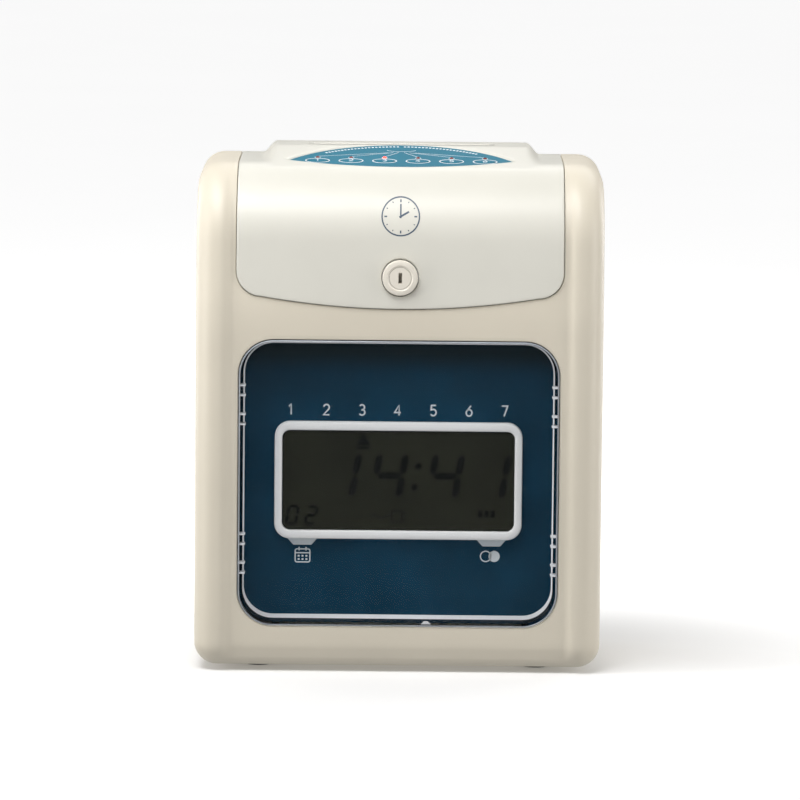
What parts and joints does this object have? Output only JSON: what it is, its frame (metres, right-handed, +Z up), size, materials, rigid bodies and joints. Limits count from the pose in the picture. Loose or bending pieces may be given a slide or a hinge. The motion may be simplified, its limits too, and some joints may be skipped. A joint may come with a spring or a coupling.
{
  "type": "punch time clock",
  "caption": "Desktop card time recorder with a clear window over a digital display, a locking lid with column keys and a card slot on top, and a dot matrix print mechanism.",
  "frame": {"origin": "under the middle of the case, in the plane of the feet", "axes": "+X to the right seen from the front, +Y to the back, +Z up; the window faces -Y"},
  "size_m": [0.21, 0.12, 0.267],
  "materials": {
    "cream_plastic": "fine satin texture",
    "pale_plastic": "smooth satin",
    "clear_window": "clear polished acrylic",
    "navy_print": "printed gloss",
    "white_trim": "semi gloss",
    "lcd_glass": "polished",
    "green_board": "solder mask",
    "brass": "turned",
    "dark_plastic": "matt",
    "battery_wrap": "shrink wrap",
    "steel": "zinc plated",
    "lock_metal": "satin",
    "rubber": "matt",
    "white_plastic": "satin",
    "ink_fabric": "woven inked nylon",
    "teal_print": "printed film",
    "led_red": "tinted lens"
  },
  "bodies": {
    "housing": {"front_cover": "cream_plastic", "rear_cover": "cream_plastic", "window_lens": "clear_window", "display_panel": "navy_print", "lcd_frame": "white_trim", "lcd_module": "lcd_glass", "lcd_board": "green_board", "main_board": "green_board", "board_standoffs": "brass", "transformer": "dark_plastic", "battery_pack": "battery_wrap", "chime_speaker": "dark_plastic", "power_inlet": "dark_plastic", "fuse_cap": "dark_plastic", "base_plate": "steel", "rubber_feet": "rubber", "cover_screws": "steel", "hinge_pins": "steel", "printer_frame": "steel", "card_guide_front": "steel", "card_guide_rear": "steel", "card_stop": "dark_plastic", "platen": "dark_plastic", "guide_shaft": "steel", "guide_rail": "steel", "drive_belt": "rubber", "carriage_motor": "dark_plastic", "motor_shelf": "steel", "feed_motor": "dark_plastic", "setting_board": "green_board"},
    "lid": {"lid": "pale_plastic", "column_label": "teal_print", "column_leds": "led_red", "key_board": "green_board", "card_funnel": "dark_plastic", "lock_bezel": "pale_plastic", "lock_nut": "steel"},
    "lock": {"lock_plug": "lock_metal"},
    "column_key_1_body": {"column_key_1": "teal_print"},
    "column_key_2_body": {"column_key_2": "teal_print"},
    "column_key_3_body": {"column_key_3": "teal_print"},
    "column_key_4_body": {"column_key_4": "teal_print"},
    "column_key_5_body": {"column_key_5": "teal_print"},
    "column_key_6_body": {"column_key_6": "teal_print"},
    "carriage_body": {"carriage": "dark_plastic", "print_head": "steel"},
    "drive_pulley_body": {"drive_pulley": "white_plastic"},
    "idler_pulley_body": {"idler_pulley": "white_plastic"},
    "ribbon": {"ribbon_cradle": "steel", "ribbon_cartridge": "dark_plastic", "ink_ribbon": "ink_fabric"},
    "knob": {"ribbon_knob": "white_plastic"},
    "pinion": {"motor_pinion": "white_plastic"},
    "feed_roller": {"feed_shaft": "steel"},
    "pinch_roller": {"pinch_shaft": "steel"},
    "setting_key_1_body": {"setting_key_1": "white_plastic"},
    "setting_key_2_body": {"setting_key_2": "white_plastic"},
    "setting_key_3_body": {"setting_key_3": "white_plastic"}
  },
  "joints": [
    {"name": "lid_hinge", "type": "hinge", "parent": "housing", "child": "lid", "pos_m": [0, 0.0566, 0.248], "axis": [-1, 0, 0], "range_deg": [0, 96]},
    {"name": "lock_turn", "type": "hinge", "parent": "lid", "child": "lock", "pos_m": [0, -0.05, 0.205], "axis": [0, 1, 0], "range_deg": [0, 90]},
    {"name": "column_1_press", "type": "slide", "parent": "lid", "child": "column_key_1_body", "axis": [0, 0.1908, -0.9816], "range_m": [0, 0.0008], "stiffness_N_per_m": 220, "springref_m": -0.001},
    {"name": "column_2_press", "type": "slide", "parent": "lid", "child": "column_key_2_body", "axis": [0, 0.1908, -0.9816], "range_m": [0, 0.0008], "stiffness_N_per_m": 220, "springref_m": -0.001},
    {"name": "column_3_press", "type": "slide", "parent": "lid", "child": "column_key_3_body", "axis": [0, 0.1908, -0.9816], "range_m": [0, 0.0008], "stiffness_N_per_m": 220, "springref_m": -0.001},
    {"name": "column_4_press", "type": "slide", "parent": "lid", "child": "column_key_4_body", "axis": [0, 0.1908, -0.9816], "range_m": [0, 0.0008], "stiffness_N_per_m": 220, "springref_m": -0.001},
    {"name": "column_5_press", "type": "slide", "parent": "lid", "child": "column_key_5_body", "axis": [0, 0.1908, -0.9816], "range_m": [0, 0.0008], "stiffness_N_per_m": 220, "springref_m": -0.001},
    {"name": "column_6_press", "type": "slide", "parent": "lid", "child": "column_key_6_body", "axis": [0, 0.1908, -0.9816], "range_m": [0, 0.0008], "stiffness_N_per_m": 220, "springref_m": -0.001},
    {"name": "carriage_slide", "type": "slide", "parent": "housing", "child": "carriage_body", "axis": [1, 0, 0], "range_m": [-0.026, 0.026]},
    {"name": "drive_pulley_turn", "type": "hinge", "parent": "housing", "child": "drive_pulley_body", "pos_m": [-0.05, -0.012, 0.21], "axis": [0, 0, 1], "range_deg": [-280, 280]},
    {"name": "idler_pulley_turn", "type": "hinge", "parent": "housing", "child": "idler_pulley_body", "pos_m": [0.05, -0.012, 0.21], "axis": [0, 0, 1], "range_deg": [-280, 280]},
    {"name": "ribbon_tilt", "type": "hinge", "parent": "housing", "child": "ribbon", "pos_m": [0, -0.018, 0.226], "axis": [1, 0, 0], "range_deg": [0, 4]},
    {"name": "ribbon_knob_turn", "type": "hinge", "parent": "ribbon", "child": "knob", "pos_m": [0.036, -0.012, 0.243], "axis": [0, 0, 1], "continuous": true},
    {"name": "feed_turn", "type": "hinge", "parent": "housing", "child": "feed_roller", "pos_m": [0, 0.0224, 0.15], "axis": [1, 0, 0], "continuous": true},
    {"name": "pinion_turn", "type": "hinge", "parent": "housing", "child": "pinion", "pos_m": [0, 0.00153, 0.13795], "axis": [1, 0, 0], "continuous": true},
    {"name": "pinch_turn", "type": "hinge", "parent": "housing", "child": "pinch_roller", "pos_m": [0, 0.036, 0.15], "axis": [1, 0, 0], "continuous": true},
    {"name": "setting_1_press", "type": "slide", "parent": "housing", "child": "setting_key_1_body", "axis": [0, 1, 0], "range_m": [0, 0.001], "stiffness_N_per_m": 220, "springref_m": -0.001},
    {"name": "setting_2_press", "type": "slide", "parent": "housing", "child": "setting_key_2_body", "axis": [0, 1, 0], "range_m": [0, 0.001], "stiffness_N_per_m": 220, "springref_m": -0.001},
    {"name": "setting_3_press", "type": "slide", "parent": "housing", "child": "setting_key_3_body", "axis": [0, 1, 0], "range_m": [0, 0.001], "stiffness_N_per_m": 220, "springref_m": -0.001}
  ],
  "couplings": [
    {"joint": "drive_pulley_turn", "follows": "carriage_slide", "rad_per_m": -181.82},
    {"joint": "idler_pulley_turn", "follows": "carriage_slide", "rad_per_m": -181.82},
    {"joint": "pinion_turn", "follows": "feed_turn", "ratio": -3}
  ]
}
